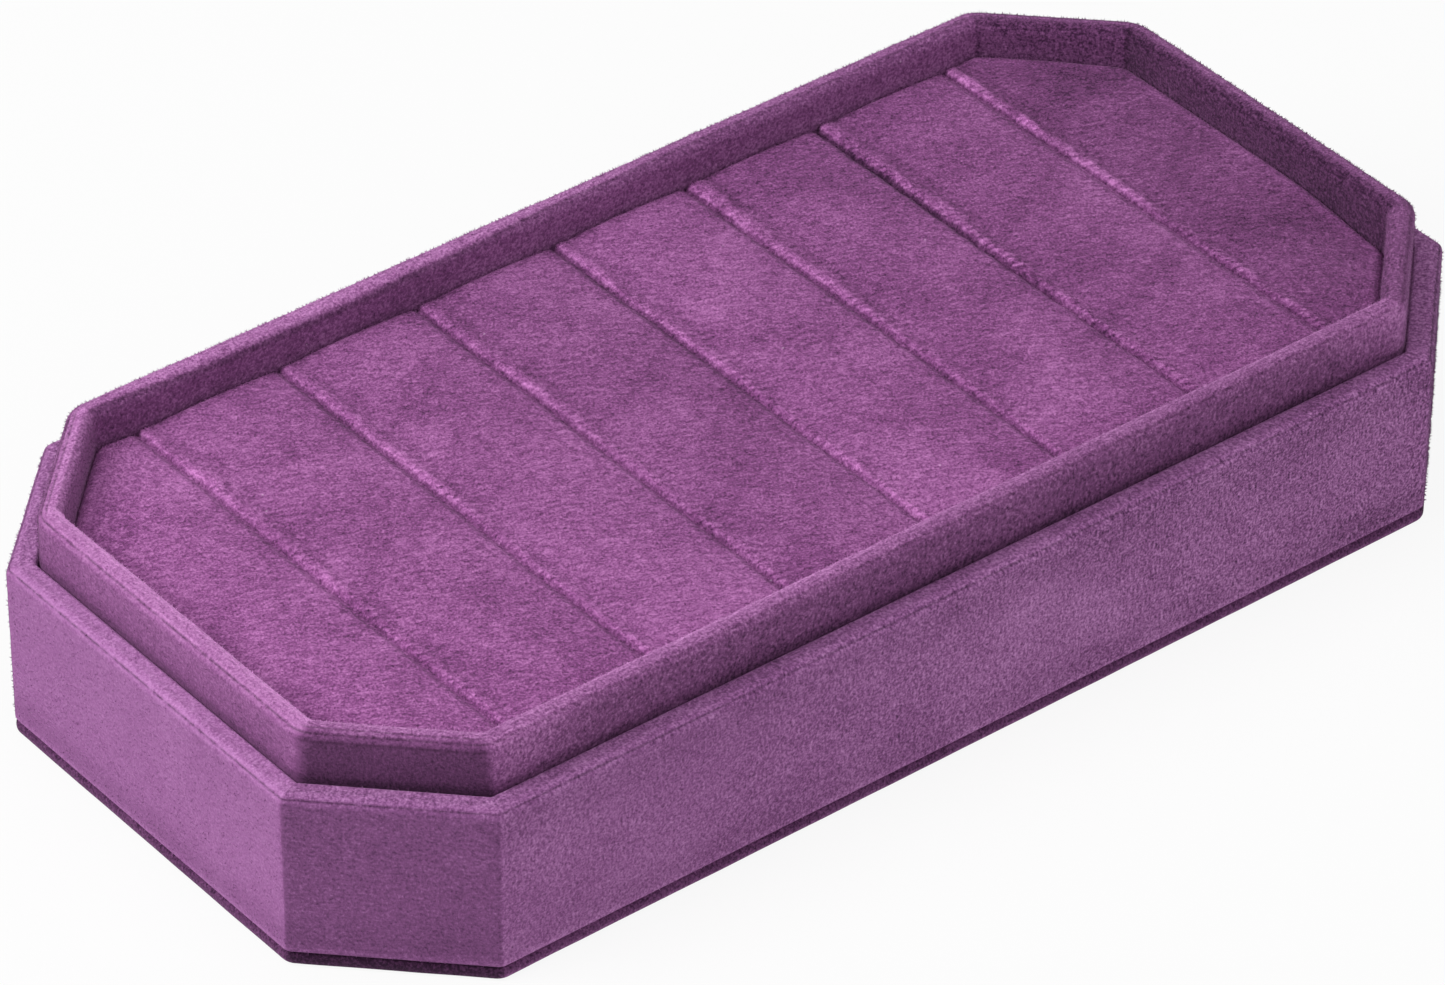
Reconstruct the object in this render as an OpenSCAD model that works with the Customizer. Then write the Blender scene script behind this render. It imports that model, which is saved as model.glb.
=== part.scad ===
// Cloth covered tray with cut corners. A low outer wall of eight boards carries a taller
// collar of eight boards, and eight wrapped foam bars stand side by side in the collar.
// The bars meet in seven closed slits.
// Millimetres. X runs along the tray, Y across it, Z up, and the tray stands on Z = 0.

/* [Overall size] */
// Length of the tray over its cloth
tray_length = 200; // [170:1:240]
// Width of the tray over its cloth
tray_width = 102; // [86:1:130]
// Height of the ledge around the foot of the collar
ledge_height = 27.7; // [22:0.1:36]
// How far the collar stands up above the ledge
collar_rise = 7.8; // [6:0.1:12]
// Length that each cut corner takes off the end and off the side
corner_cut = 20; // [14:0.5:26]

/* [Boards] */
// Thickness of the boards in the outer wall
wall_board = 2.8; // [2:0.1:4]
// Thickness of the boards in the collar
collar_board = 2.6; // [2:0.1:4]
// Thickness of the board in the base plate
base_board_thick = 1.0; // [0.8:0.1:2]
// Thickness of the card that the bars are glued to
card_thick = 1.4; // [0.8:0.1:2]

/* [Cloth] */
// Thickness of the velvet, pile and backing together
cloth = 0.6; // [0.4:0.05:0.9]
// Width of cloth turned in over the base board and down the inside of the wall
turn_in = 12; // [10:0.5:16]
// Width of cloth turned under the foot of each bar
turn_under = 5; // [3:0.5:6]

/* [Soft edges] */
// Radius over the top of the collar
rim_round = 1.7; // [0.9:0.1:1.8]
// Radius along the outer edges of the wall and down its corners
wall_round = 1.3; // [0.9:0.1:1.6]
// Radius of the lips along each slit
lip_round = 1.5; // [1:0.1:2.4]
// Radius where the bars roll down to the collar
end_round = 1.6; // [1.2:0.1:3]
// Radius where the two end bars roll down to the cut corners
corner_round = 2.1; // [1.5:0.1:4]
// Radius of the notch that each slit opens into at the collar
notch_round = 2.0; // [1:0.1:3]

/* [Padded bars] */
// Depth from the top of the collar down to the crown of the bars
pad_drop = 5.2; // [4.5:0.1:8]
// Width of an end bar compared with a middle bar
end_share = 0.925; // [0.8:0.005:1.2]
// How much higher a bar is along its middle than at its lips
crown = 0.5; // [0.2:0.1:1]

/* [Hidden] */
$fn = 32;
half_length = tray_length / 2;
half_width = tray_width / 2;
wall_thick = wall_board + 2 * cloth;
collar_thick = collar_board + 2 * cloth;
well_inset = wall_thick + collar_thick;
base_thick = base_board_thick + 2 * cloth;
collar_top = ledge_height + collar_rise;
pad_top = collar_top - pad_drop;
card_top = base_thick + card_thick;
rim_r = min(rim_round, collar_thick / 2 - 0.1);
wall_r = min(wall_round, wall_thick / 2 - 0.1);
ease = 0.3;
cloth_flat = 0.9;
board_flat = 0.6;
collar_cloth_flat = 1.6;
collar_board_flat = 1.3;
hair = 0.02;
well_x = half_length - well_inset;
well_y = half_width - well_inset;
half_cut = (half_length + half_width - corner_cut) / sqrt(2);
pitch = 2 * well_x / (6 + 2 * end_share);
crown_r = (pitch * pitch / 4 + crown * crown) / (2 * crown);
spill = 1;

// The tray outline moved inwards by d, anticlockwise from the back of the left end
function cut_at(d) = corner_cut - d * (2 - sqrt(2));
function outline(d) = let (x = half_length - d, y = half_width - d, c = cut_at(d))
    [[-x, y - c], [-x, c - y], [c - x, -y], [x - c, -y],
     [x, c - y], [x, y - c], [x - c, y], [c - x, y]];
function toward(a, b) = (b - a) / norm(b - a);
function trim(i) = hair * (i % 2);
function slit_x(k) = (k - 3) * pitch;
function bar_from(i) = i == 0 ? -well_x : slit_x(i - 1);
function bar_to(i) = i == 7 ? well_x : slit_x(i);
function bar_mid(i) = (bar_from(i) + bar_to(i)) / 2;
function bar_half(i) = (bar_to(i) - bar_from(i)) / 2;

// Rectangle whose four corners can each be round: outer top, inner top, outer foot, inner foot
module soft_box(x0, x1, z0, z1, ot, it, of, inf) {
    polygon([[x0, z0 + of], [x0 + of, z0], [x1 - inf, z0], [x1, z0 + inf],
             [x1, z1 - it], [x1 - it, z1], [x0 + ot, z1], [x0, z1 - ot]]);
    if (ot > 0) translate([x0 + ot, z1 - ot]) circle(ot);
    if (it > 0) translate([x1 - it, z1 - it]) circle(it);
    if (of > 0) translate([x0 + of, z0 + of]) circle(of);
    if (inf > 0) translate([x1 - inf, z0 + inf]) circle(inf);
}

// Column inside the tray outline, with its eight upright corners eased by a narrow flat
module eased_column(d, t, z0, z1) {
    p = outline(d);
    translate([0, 0, z0]) linear_extrude(z1 - z0)
        polygon([for (i = [0:7]) for (s = [-1, 1])
            p[i] + t * toward(p[i], p[(i + s + 8) % 8])]);
}

// Runs a section along one side of the tray, mitred at both ends. X of the section points inwards.
module side_run(i) {
    a = outline(0)[i];
    b = outline(0)[(i + 1) % 8];
    e = outline(well_inset + spill);
    intersection() {
        translate([a[0], a[1], 0]) rotate([0, 0, atan2(b[1] - a[1], b[0] - a[0])])
            rotate([90, 0, 90]) linear_extrude(norm(b - a)) children();
        translate([0, 0, -spill]) linear_extrude(collar_top + 2 * spill)
            polygon([a, b, e[(i + 1) % 8], e[i]]);
    }
}

// Runs a section straight through the tray, turned about Z
module run_through(turn) {
    rotate([0, 0, turn]) rotate([90, 0, 0]) linear_extrude(2 * tray_length, center = true)
        children();
}

// Eight sided block, d in from the outline, with rolled top and foot edges.
// The edges over the cut corners have a top radius of their own.
module block(d, z0, z1, top, foot, corner) {
    intersection() {
        run_through(0)
            soft_box(d - half_length, half_length - d, z0, z1, top, top, foot, foot);
        run_through(90)
            soft_box(d - half_width, half_width - d, z0, z1, top, top, foot, foot);
        run_through(45)
            soft_box(d - half_cut, half_cut - d, z0, z1, corner, corner, foot, foot);
        run_through(-45)
            soft_box(d - half_cut, half_cut - d, z0, z1, corner, corner, foot, foot);
    }
}

// Section of an opening whose top edge flares out by r
module flared(h, z0, z1, r) {
    translate([-h, z0]) square([2 * h, z1 - r - z0]);
    difference() {
        translate([-h - r, z1 - r]) square([2 * (h + r), r + spill]);
        for (s = [-1, 1]) translate([s * (h + r), z1 - r]) circle(r);
    }
}

// Eight sided opening, d in from the outline, with the flare all round its top.
// Over the cut corners the flare is a hair tighter, so the folds there meet cleanly.
module opening(d, z0, z1, r) {
    intersection() {
        run_through(0) flared(half_length - d, z0, z1, r);
        run_through(90) flared(half_width - d, z0, z1, r);
        run_through(45) flared(half_cut - d, z0, z1, r - hair);
        run_through(-45) flared(half_cut - d, z0, z1, r - hair);
    }
}

// Closed frame between the insets d0 and d1, its outer upright corners eased by t
module frame(d0, d1, z0, z1, outer, inner, foot, t) {
    difference() {
        intersection() {
            block(d0, z0, z1, outer, foot, outer);
            eased_column(d0, t, z0 - spill, z1 + spill);
        }
        opening(d1, z0 - spill, z1, inner);
    }
}

module plain_opening(d, z0, z1) {
    translate([0, 0, z0]) linear_extrude(z1 - z0) polygon(outline(d));
}

// Wall board of one side, its top and foot eased for the cloth
module wall_piece(i) color([0.62, 0.55, 0.46]) intersection() {
    side_run(i)
        soft_box(cloth, cloth + wall_board, base_thick + cloth, ledge_height - cloth,
            wall_r - cloth, ease - trim(i), wall_r - cloth, 0);
    eased_column(cloth, board_flat, 0, ledge_height);
}

// Collar board of one side, rounded over the top like the rim
module collar_piece(i) color([0.66, 0.6, 0.5]) intersection() {
    side_run(i)
        soft_box(wall_thick + cloth, well_inset - cloth, base_thick, collar_top - cloth,
            rim_r - cloth, rim_r - cloth - trim(i), 0, 0);
    eased_column(wall_thick + cloth, collar_board_flat, 0, collar_top);
}

// Plate inside the base cloth
module base_board() color([0.62, 0.55, 0.46])
    eased_column(cloth, board_flat, cloth, base_thick - cloth);

// Cloth under the base plate, rolled round its edge and turned in on top
module base_cloth() color([0.5, 0.28, 0.5]) {
    difference() {
        intersection() {
            block(0, 0, base_thick, 0.45 * base_thick, 0.45 * base_thick, 0.45 * base_thick);
            eased_column(0, cloth_flat, -spill, base_thick + spill);
        }
        base_board();
        plain_opening(turn_in, base_thick - cloth - 0.1, base_thick + spill);
    }
}

// Cloth of the outer wall: turned under its foot, up the outside, over the ledge and down inside
module wall_cloth() color([0.55, 0.32, 0.55]) {
    difference() {
        frame(0, wall_thick, base_thick, ledge_height, wall_r, cloth + ease, wall_r, cloth_flat);
        frame(cloth, cloth + wall_board, base_thick + cloth, ledge_height - cloth,
            wall_r - cloth, ease, wall_r - cloth, board_flat);
        plain_opening(cloth + wall_board - 0.1, base_thick - spill, ledge_height - turn_in);
    }
}

// Cloth of the collar: up the outside, over the round rim and down the inside
module collar_cloth() color([0.58, 0.34, 0.58]) {
    difference() {
        frame(wall_thick, well_inset, base_thick, collar_top, rim_r, rim_r, 0,
            collar_cloth_flat);
        frame(wall_thick + cloth, well_inset - cloth, base_thick - spill, collar_top - cloth,
            rim_r - cloth, rim_r - cloth, 0, collar_board_flat);
    }
}

// Card that lies on the turned in cloth of the base and carries the bars
module insert_card() color([0.7, 0.66, 0.58])
    plain_opening(well_inset, base_thick, card_top);

// Section of a bar: crowned top that runs tangent into the two lips
module bar_section(w, k) {
    zb = pad_top - crown_r;
    zc = zb + sqrt(pow(crown_r - lip_round, 2) - pow(w - lip_round, 2));
    xt = (w - lip_round) * (crown_r - k) / (crown_r - lip_round);
    intersection() {
        translate([0, zb]) circle(crown_r - k, $fn = 360);
        translate([-xt, 0]) square([2 * xt, pad_top]);
    }
    for (s = [-1, 1]) translate([s * (w - lip_round), zc]) circle(lip_round - k);
    translate([k - w, 0]) square([2 * (w - k), zc]);
}

// One bar, k in from the surface of its cloth, standing on foot
module bar_solid(i, k, foot) {
    w = bar_half(i);
    intersection() {
        block(well_inset + k, 0, pad_top - k, end_round - k, 0, corner_round - k);
        translate([bar_mid(i), 0, 0]) rotate([90, 0, 0])
            linear_extrude(tray_width, center = true) bar_section(w, k);
        translate([bar_mid(i), 0, foot]) linear_extrude(collar_top)
            soft_box(k - w, w - k, k - well_y, well_y - k,
                notch_round - k, notch_round - k, notch_round - k, notch_round - k);
    }
}

// Foam of a bar: the foot steps in where the cloth is turned under
module foam_solid(i) {
    g = cloth + turn_under;
    bar_solid(i, cloth, card_top + cloth);
    translate([0, 0, card_top]) linear_extrude(2 * cloth) intersection() {
        polygon(outline(well_inset + g));
        translate([bar_from(i) + g, -well_y])
            square([2 * bar_half(i) - 2 * g, 2 * well_y]);
    }
}

module foam_bar(i) color([0.86, 0.83, 0.7]) foam_solid(i);

module bar_cloth(i) color([0.52, 0.3, 0.52]) difference() {
    bar_solid(i, 0, card_top);
    foam_solid(i);
}

module wall_board_left() wall_piece(0);
module wall_board_front_left() wall_piece(1);
module wall_board_front() wall_piece(2);
module wall_board_front_right() wall_piece(3);
module wall_board_right() wall_piece(4);
module wall_board_back_right() wall_piece(5);
module wall_board_back() wall_piece(6);
module wall_board_back_left() wall_piece(7);
module collar_board_left() collar_piece(0);
module collar_board_front_left() collar_piece(1);
module collar_board_front() collar_piece(2);
module collar_board_front_right() collar_piece(3);
module collar_board_right() collar_piece(4);
module collar_board_back_right() collar_piece(5);
module collar_board_back() collar_piece(6);
module collar_board_back_left() collar_piece(7);
module foam_bar_1() foam_bar(0);
module foam_bar_2() foam_bar(1);
module foam_bar_3() foam_bar(2);
module foam_bar_4() foam_bar(3);
module foam_bar_5() foam_bar(4);
module foam_bar_6() foam_bar(5);
module foam_bar_7() foam_bar(6);
module foam_bar_8() foam_bar(7);
module bar_cloth_1() bar_cloth(0);
module bar_cloth_2() bar_cloth(1);
module bar_cloth_3() bar_cloth(2);
module bar_cloth_4() bar_cloth(3);
module bar_cloth_5() bar_cloth(4);
module bar_cloth_6() bar_cloth(5);
module bar_cloth_7() bar_cloth(6);
module bar_cloth_8() bar_cloth(7);

base_board();
base_cloth();
wall_board_left();
wall_board_front_left();
wall_board_front();
wall_board_front_right();
wall_board_right();
wall_board_back_right();
wall_board_back();
wall_board_back_left();
wall_cloth();
collar_board_left();
collar_board_front_left();
collar_board_front();
collar_board_front_right();
collar_board_right();
collar_board_back_right();
collar_board_back();
collar_board_back_left();
collar_cloth();
insert_card();
foam_bar_1();
foam_bar_2();
foam_bar_3();
foam_bar_4();
foam_bar_5();
foam_bar_6();
foam_bar_7();
foam_bar_8();
bar_cloth_1();
bar_cloth_2();
bar_cloth_3();
bar_cloth_4();
bar_cloth_5();
bar_cloth_6();
bar_cloth_7();
bar_cloth_8();
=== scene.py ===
import math
from collections import namedtuple

import bmesh
import bpy
import numpy as np
from bpy.props import FloatProperty, FloatVectorProperty, PointerProperty
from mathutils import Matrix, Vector, noise


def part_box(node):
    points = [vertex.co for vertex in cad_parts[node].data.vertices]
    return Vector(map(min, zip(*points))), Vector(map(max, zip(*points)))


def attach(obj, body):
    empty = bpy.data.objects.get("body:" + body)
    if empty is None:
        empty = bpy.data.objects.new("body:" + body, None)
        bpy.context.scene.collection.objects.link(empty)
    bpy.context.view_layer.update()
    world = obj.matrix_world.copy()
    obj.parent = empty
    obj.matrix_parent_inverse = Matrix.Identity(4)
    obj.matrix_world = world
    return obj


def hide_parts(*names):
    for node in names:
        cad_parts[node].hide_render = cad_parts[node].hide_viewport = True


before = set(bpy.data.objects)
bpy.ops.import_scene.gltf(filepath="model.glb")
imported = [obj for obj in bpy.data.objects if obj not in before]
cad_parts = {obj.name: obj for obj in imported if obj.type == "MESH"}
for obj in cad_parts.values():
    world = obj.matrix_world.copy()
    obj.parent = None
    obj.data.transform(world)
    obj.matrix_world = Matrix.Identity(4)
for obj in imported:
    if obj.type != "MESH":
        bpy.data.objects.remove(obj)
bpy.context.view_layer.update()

bl_info = {
    "name": "Velvet Display Tray",
    "version": (1, 0, 0),
    "blender": (4, 5, 0),
    "location": "3D View > Sidebar > Tray",
    "description": "Builds the velvet of a display tray with cut corners around its packed frame",
    "category": "Add Mesh",
}

MM = 0.001
WALL_LOW, WALL_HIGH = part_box("wall_cloth")
RIM_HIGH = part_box("collar_cloth")[1]
CARD_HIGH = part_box("insert_card")[1]
HALF_LENGTH, HALF_WIDTH = WALL_HIGH.x, WALL_HIGH.y
BASE_TOP, LEDGE, RIM = WALL_LOW.z, WALL_HIGH.z, RIM_HIGH.z
COLLAR_IN = HALF_LENGTH - RIM_HIGH.x
WELL_IN = HALF_LENGTH - CARD_HIGH.x
WELL_X, WELL_Y = CARD_HIGH.x, CARD_HIGH.y
CORNER_CUT = 20 * MM
ROOT2 = math.sqrt(2)
BARS = 8
LEAST_ROUND = 0.25 * MM
BASE_STEP = 1.6 * MM


def linear(colour):
    """An sRGB hex colour as linear red, green and blue."""
    parts = [int(colour[k:k + 2], 16) / 255 for k in (1, 3, 5)]
    return tuple(c / 12.92 if c <= 0.04045 else ((c + 0.055) / 1.055) ** 2.4 for c in parts)


# Sizes and colours that a user would change

def length(name, description, default, low, high):
    return FloatProperty(name=name, description=description, default=default * MM, min=low * MM,
                         max=high * MM, subtype="DISTANCE", unit="LENGTH", precision=5)


def tint(name, description, default):
    return FloatVectorProperty(name=name, description=description, default=linear(default),
                               size=3, min=0, max=1, subtype="COLOR")


class TrayShape(bpy.types.PropertyGroup):
    """Sizes of the velvet and of its soft edges."""
    cloth: length("Cloth", "Thickness of the velvet with its pile", 0.6, 0.4, 0.9)
    turn_in: length("Turn in", "Width of cloth turned in over the base and inside the wall",
                    12, 10, 16)
    upright: length("Upright corners", "Radius of the cloth round the upright corners",
                    1.7, 0.6, 3)
    wall_round: length("Wall edge", "Radius of the cloth over the edges of the wall",
                       1.4, 0.9, 1.6)
    rim_round: length("Rim edge", "Radius of the cloth over the collar", 1.7, 0.9, 1.8)
    lip: length("Lips", "Radius of the lips along each slit", 1.0, 0.8, 2.4)
    bar_end: length("Bar ends", "Radius where a bar rolls down to the collar", 1.2, 1, 3)
    bar_corner: length("Cut corners", "Radius where an end bar rolls down to a cut corner",
                       1.4, 1, 4)
    crown: length("Crown", "Height of a bar along its middle over its lips", 0.5, 0.2, 1)
    ripple: length("Ripple", "How far the glued cloth wanders from the board", 0.1, 0, 0.4)
    parting: length("Parting", "Depth of the line where the pile parts over an edge",
                    0.1, 0, 0.4)
    tuft: length("Tuft", "Height of the tufts that stand out of the pile", 0.34, 0.1, 0.8)


class TrayLook(bpy.types.PropertyGroup):
    """Colours of the finishes."""
    # Deep pile and brushed pile are the ends of the pile's colour ramp: brushed patches and grain
    # move the colour along it, and so do painted sheen and painted shade
    deep: tint("Deep pile", "Colour seen straight into the pile", "#452446")
    middle: tint("Pile", "Colour of the pile at rest", "#8C5489")
    light: tint("Brushed pile", "Colour of pile that is brushed toward the eye", "#C287BE")
    sheen: tint("Sheen", "Colour of the bloom where the pile turns away", "#D9A6D6")
    lint: tint("Lint", "Colour of the lint specks", "#E2C6E0")
    board: tint("Greyboard", "Colour of the wall and collar boards", "#A39A8C")
    card: tint("Card", "Colour of the card under the bars", "#B8AE9A")
    foam: tint("Foam", "Colour of the foam bars", "#DDD4B4")


# Meshes

def outline(inset):
    """Corners of the tray moved inwards, anticlockwise from the back of the left end."""
    x, y = HALF_LENGTH - inset, HALF_WIDTH - inset
    c = CORNER_CUT - inset * (2 - ROOT2)
    return np.array([(-x, y - c), (-x, c - y), (c - x, -y), (x - c, -y),
                     (x, c - y), (x, y - c), (x - c, y), (c - x, y)])


def turned(aim, angle):
    """A direction in the plane turned anticlockwise."""
    c, s = math.cos(angle), math.sin(angle)
    return np.array([aim[0] * c - aim[1] * s, aim[0] * s + aim[1] * c])


def loop_round(inset, radius, step=0.9 * MM, bend=6):
    """Points and outward directions round the tray at an inset, with rounded corners."""
    corners = outline(inset)
    sides = np.roll(outline(0), -1, axis=0) - outline(0)
    along = sides / np.linalg.norm(sides, axis=1)[:, None]
    outward = np.stack([along[:, 1], -along[:, 0]], axis=1)
    points, aims = [], []
    for i in range(8):
        n0, n1 = outward[i - 1], outward[i]
        middle = corners[i] - (n0 + n1) / np.linalg.norm(n0 + n1) * radius / math.cos(math.pi / 8)
        for m in range(bend + 1):
            aim = turned(n0, m / bend * math.pi / 4)
            points.append(middle + aim * radius)
            aims.append(aim)
        start = points[-1]
        finish = corners[(i + 1) % 8] - along[i] * radius * math.tan(math.pi / 8)
        count = max(2, round(np.linalg.norm(sides[i]) / step))
        for k in range(1, count):
            points.append(start + (finish - start) * k / count)
            aims.append(n1)
    return np.array(points), np.array(aims)


def stroke(stops):
    """Closed path through (outward, height, fillet, spacing) stops: place, normal, run."""
    places, normals = [], []
    spots = [np.array(s[:2]) for s in stops]
    n = len(stops)
    leads = [(b - a) / np.linalg.norm(b - a) for a, b in zip(spots, spots[1:] + spots[:1])]
    turns = [math.atan2(a[0] * b[1] - a[1] * b[0], a @ b)
             for a, b in zip(leads[-1:] + leads, leads)]
    radii = [max(s[2], 0.05 * MM) for s in stops]
    trims = [radii[i] * math.tan(abs(turns[i]) / 2) for i in range(n)]
    for i in range(n):
        side = math.copysign(1, turns[i])
        first = np.array([leads[i - 1][1], -leads[i - 1][0]])
        hub = spots[i] - leads[i - 1] * trims[i] - first * radii[i] * side
        steps = max(2, round(abs(turns[i]) * radii[i] / (0.16 * MM)))
        for m in range(steps + 1):
            aim = turned(first, turns[i] * m / steps)
            places.append(hub + aim * radii[i] * side)
            normals.append(aim)
        start = places[-1]
        finish = spots[(i + 1) % n] - leads[i] * trims[(i + 1) % n]
        count = max(1, round(np.linalg.norm(finish - start) / stops[i][3]))
        for k in range(1, count):
            places.append(start + (finish - start) * k / count)
            normals.append(normals[-1])
    places = np.array(places)
    return places, np.array(normals), run_along(places)


def run_along(points):
    """Length of a closed path from its first point to each point, and round to the first."""
    steps = np.roll(points, -1, axis=0) - points
    return np.concatenate([[0], np.cumsum(np.linalg.norm(steps, axis=1))])


def wander(points, size, seed):
    """Smooth noise from -1 to 1 at each point, with lumps of the given size."""
    shift = Vector((seed * 7.31, seed * 3.17, seed * 5.73))
    return np.array([noise.noise(Vector(p) / size + shift) for p in points])


def wander_along(u, size, seed):
    """Smooth noise from -1 to 1 along a line."""
    return wander([(x, seed, 0.0) for x in u], size, seed)


def ramp(value, low, high):
    """0 below low, 1 above high and a smooth step between."""
    t = np.clip((np.asarray(value, dtype=float) - low) / (high - low), 0, 1)
    return t * t * (3 - 2 * t)


def bump(value, middle, width):
    """A smooth bump of height 1 round a middle value."""
    return np.exp(-((np.asarray(value, dtype=float) - middle) / width) ** 2)


def put(name, data):
    """Puts an object that shows the data into the scene."""
    obj = bpy.data.objects.new(name, data)
    bpy.context.scene.collection.objects.link(obj)
    return obj


def make_mesh(name, points, faces, corners_uv, marks):
    """A mesh object with a UV map in metres along the cloth, and one value a point in each mark:
    painted light (painted sheen and shade: brighter or darker pile), part (parted pile, darkened
    as painted shade), calm (quieter pattern), along (ribs along the cloth), open (pile opened so
    that its ribs show) and fuzz (share of loose tufts)."""
    mesh = bpy.data.meshes.new(name)
    mesh.from_pydata([tuple(p) for p in points], [], faces)
    uv = mesh.uv_layers.new(name="cloth")
    uv.data.foreach_set("uv", np.asarray(corners_uv, dtype=np.float32).ravel())
    for key, values in marks.items():
        layer = mesh.attributes.new(key, "FLOAT", "POINT")
        layer.data.foreach_set("value", np.asarray(values, dtype=np.float32).ravel())
    mesh.shade_smooth()
    mesh.update()
    return put(name, mesh)


def strip(faces, uvs, low, high, u, v0, v1, order=(0, 1, 2, 3)):
    """Adds the quads between two rows of point numbers: u runs along the rows, v across."""
    for c in range(len(u) - 1):
        d = (c + 1) % len(low)
        quad = ((low[c], (u[c], v0)), (low[d], (u[c + 1], v0)),
                (high[d], (u[c + 1], v1)), (high[c], (u[c], v1)))
        faces.append(tuple(quad[k][0] for k in order))
        uvs.extend(quad[k][1] for k in order)


def sweep(name, stops, radius, surface, seed):
    """Sweeps a closed section round the tray. surface takes the inset, the height, the normal,
    X round the tray and the outward directions, and gives the give, the groove and the marks."""
    shape = bpy.context.scene.tray_shape
    path, normals, run = stroke(stops)
    around = run_along(loop_round(0, shape.upright)[0])
    rows, cols = len(path), len(around) - 1
    points = np.zeros((rows, cols, 3))
    marks = {key: np.zeros((rows, cols)) for key in (
        "painted_light", "part", "calm", "along", "open", "fuzz")}
    for r, ((out, height), normal) in enumerate(zip(path, normals)):
        plan, aims = loop_round(-out, radius(-out))
        give, groove, found = surface(-out, height, normal, plan[:, 0], aims)
        base = np.column_stack([plan, np.full(cols, height)])
        push = np.full(cols, -groove)
        if give > 0:
            push = push + give * shape.ripple * (
                wander(base, 24 * MM, seed) + 0.5 * wander(base, 6 * MM, seed + 1)
                + 0.3 * wander(base, 1.8 * MM, seed + 2))
        points[r] = base + np.column_stack([aims * (normal[0] * push)[:, None],
                                            normal[1] * push])
        for key, value in found.items():
            marks[key][r] = value
    faces, uvs = [], []
    numbers = np.arange(rows * cols).reshape(rows, cols).tolist()
    for r in range(rows):
        strip(faces, uvs, numbers[r], numbers[(r + 1) % rows], around, run[r], run[r + 1])
    return make_mesh(name, points.reshape(-1, 3), faces, uvs, marks)


def nap(aims, **sides):
    """How much each side of the tray counts for a mark, because the pile leans one way. In the
    painted light this is painted sheen and shade: each side brighter or darker by how its leaning
    pile meets the light.
    """
    x, y = aims[:, 0], aims[:, 1]
    cut = ramp(np.abs(x * y), 0.2, 0.45)
    shares = {"front": ramp(-y, 0.8, 1), "left": ramp(-x, 0.75, 0.98),
              "right": ramp(x, 0.75, 0.98), "cut": cut, "back_right": cut * (y > 0.3) * (x > 0.3),
              "back_left": cut * (y > 0.3) * (x < -0.3),
              "front_right": cut * (y <= 0.3) * (x > 0.3)}
    return sum(value * shares[key] for key, value in sides.items())


# Loose tufts of the pile

def node(tree, kind, inputs=None, **settings):
    """Adds a node with its settings, links or sets its inputs, and gives its outputs."""
    item = tree.nodes.new(kind)
    for key, value in settings.items():
        setattr(item, key, value)
    for key, value in (inputs or {}).items():
        if isinstance(value, bpy.types.NodeSocket):
            tree.links.new(value, item.inputs[key])
        else:
            item.inputs[key].default_value = value
    return item.outputs


def tuft_tree():
    """Node tree that stands small leaning tufts on a cloth where its fuzz mark says so."""
    tree = bpy.data.node_groups.new("tufts", "GeometryNodeTree")
    tree.is_modifier = True
    face = tree.interface
    for way in ("OUTPUT", "INPUT"):
        face.new_socket("Geometry", in_out=way, socket_type="NodeSocketGeometry")
    for name, kind, value in (("Tufts per square metre", "Float", 2.5e7),
                              ("Height", "Float", 0.34 * MM), ("Width", "Float", 0.07 * MM),
                              ("Lean", "Float", 0.7), ("Seed", "Int", 1)):
        socket = face.new_socket(name, in_out="INPUT", socket_type="NodeSocket" + kind)
        socket.default_value = value
    face.new_socket("Material", in_out="INPUT", socket_type="NodeSocketMaterial")
    given = node(tree, "NodeGroupInput")
    fuzz = node(tree, "GeometryNodeInputNamedAttribute", {"Name": "fuzz"},
                data_type="FLOAT")["Attribute"]
    share = node(tree, "ShaderNodeMath", {0: fuzz, 1: given["Tufts per square metre"]},
                 operation="MULTIPLY")[0]
    spots = node(tree, "GeometryNodeDistributePointsOnFaces", {
        "Mesh": given["Geometry"], "Density": share, "Seed": given["Seed"]},
        distribute_method="RANDOM")
    tip = node(tree, "GeometryNodeMeshCone", {
        "Vertices": 3, "Side Segments": 1, "Radius Top": 0.0, "Radius Bottom": given["Width"],
        "Depth": given["Height"]}, fill_type="NONE")["Mesh"]
    back = node(tree, "ShaderNodeMath", {0: given["Lean"], 1: -1.0}, operation="MULTIPLY")[0]
    least, most = (node(tree, "ShaderNodeCombineXYZ", {"X": tilt, "Y": tilt, "Z": turn})[0]
                   for tilt, turn in ((back, -3.14159), (given["Lean"], 3.14159)))
    lean = node(tree, "FunctionNodeRandomValue", {0: least, 1: most, "Seed": given["Seed"]},
                data_type="FLOAT_VECTOR")[0]
    lean = node(tree, "FunctionNodeEulerToRotation", {0: lean})[0]
    stand = node(tree, "FunctionNodeRotateRotation", {
        "Rotation": spots["Rotation"], "Rotate By": lean}, rotation_space="LOCAL")[0]
    size = node(tree, "FunctionNodeRandomValue", {2: 0.5, 3: 1.25, "Seed": given["Seed"]},
                data_type="FLOAT")[1]
    field = node(tree, "GeometryNodeInstanceOnPoints", {
        "Points": spots["Points"], "Instance": tip, "Rotation": stand, "Scale": size})[0]
    real = node(tree, "GeometryNodeRealizeInstances", {0: field})[0]
    dressed = node(tree, "GeometryNodeSetMaterial", {
        "Geometry": real, "Material": given["Material"]})[0]
    node(tree, "NodeGroupOutput", {"Geometry": dressed})
    return tree


def bake(obj):
    """Turns the modifiers of an object into its plain mesh."""
    depsgraph = bpy.context.evaluated_depsgraph_get()
    mesh = bpy.data.meshes.new_from_object(obj.evaluated_get(depsgraph))
    mesh.name = obj.name
    obj.modifiers.clear()
    obj.data = mesh


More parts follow.
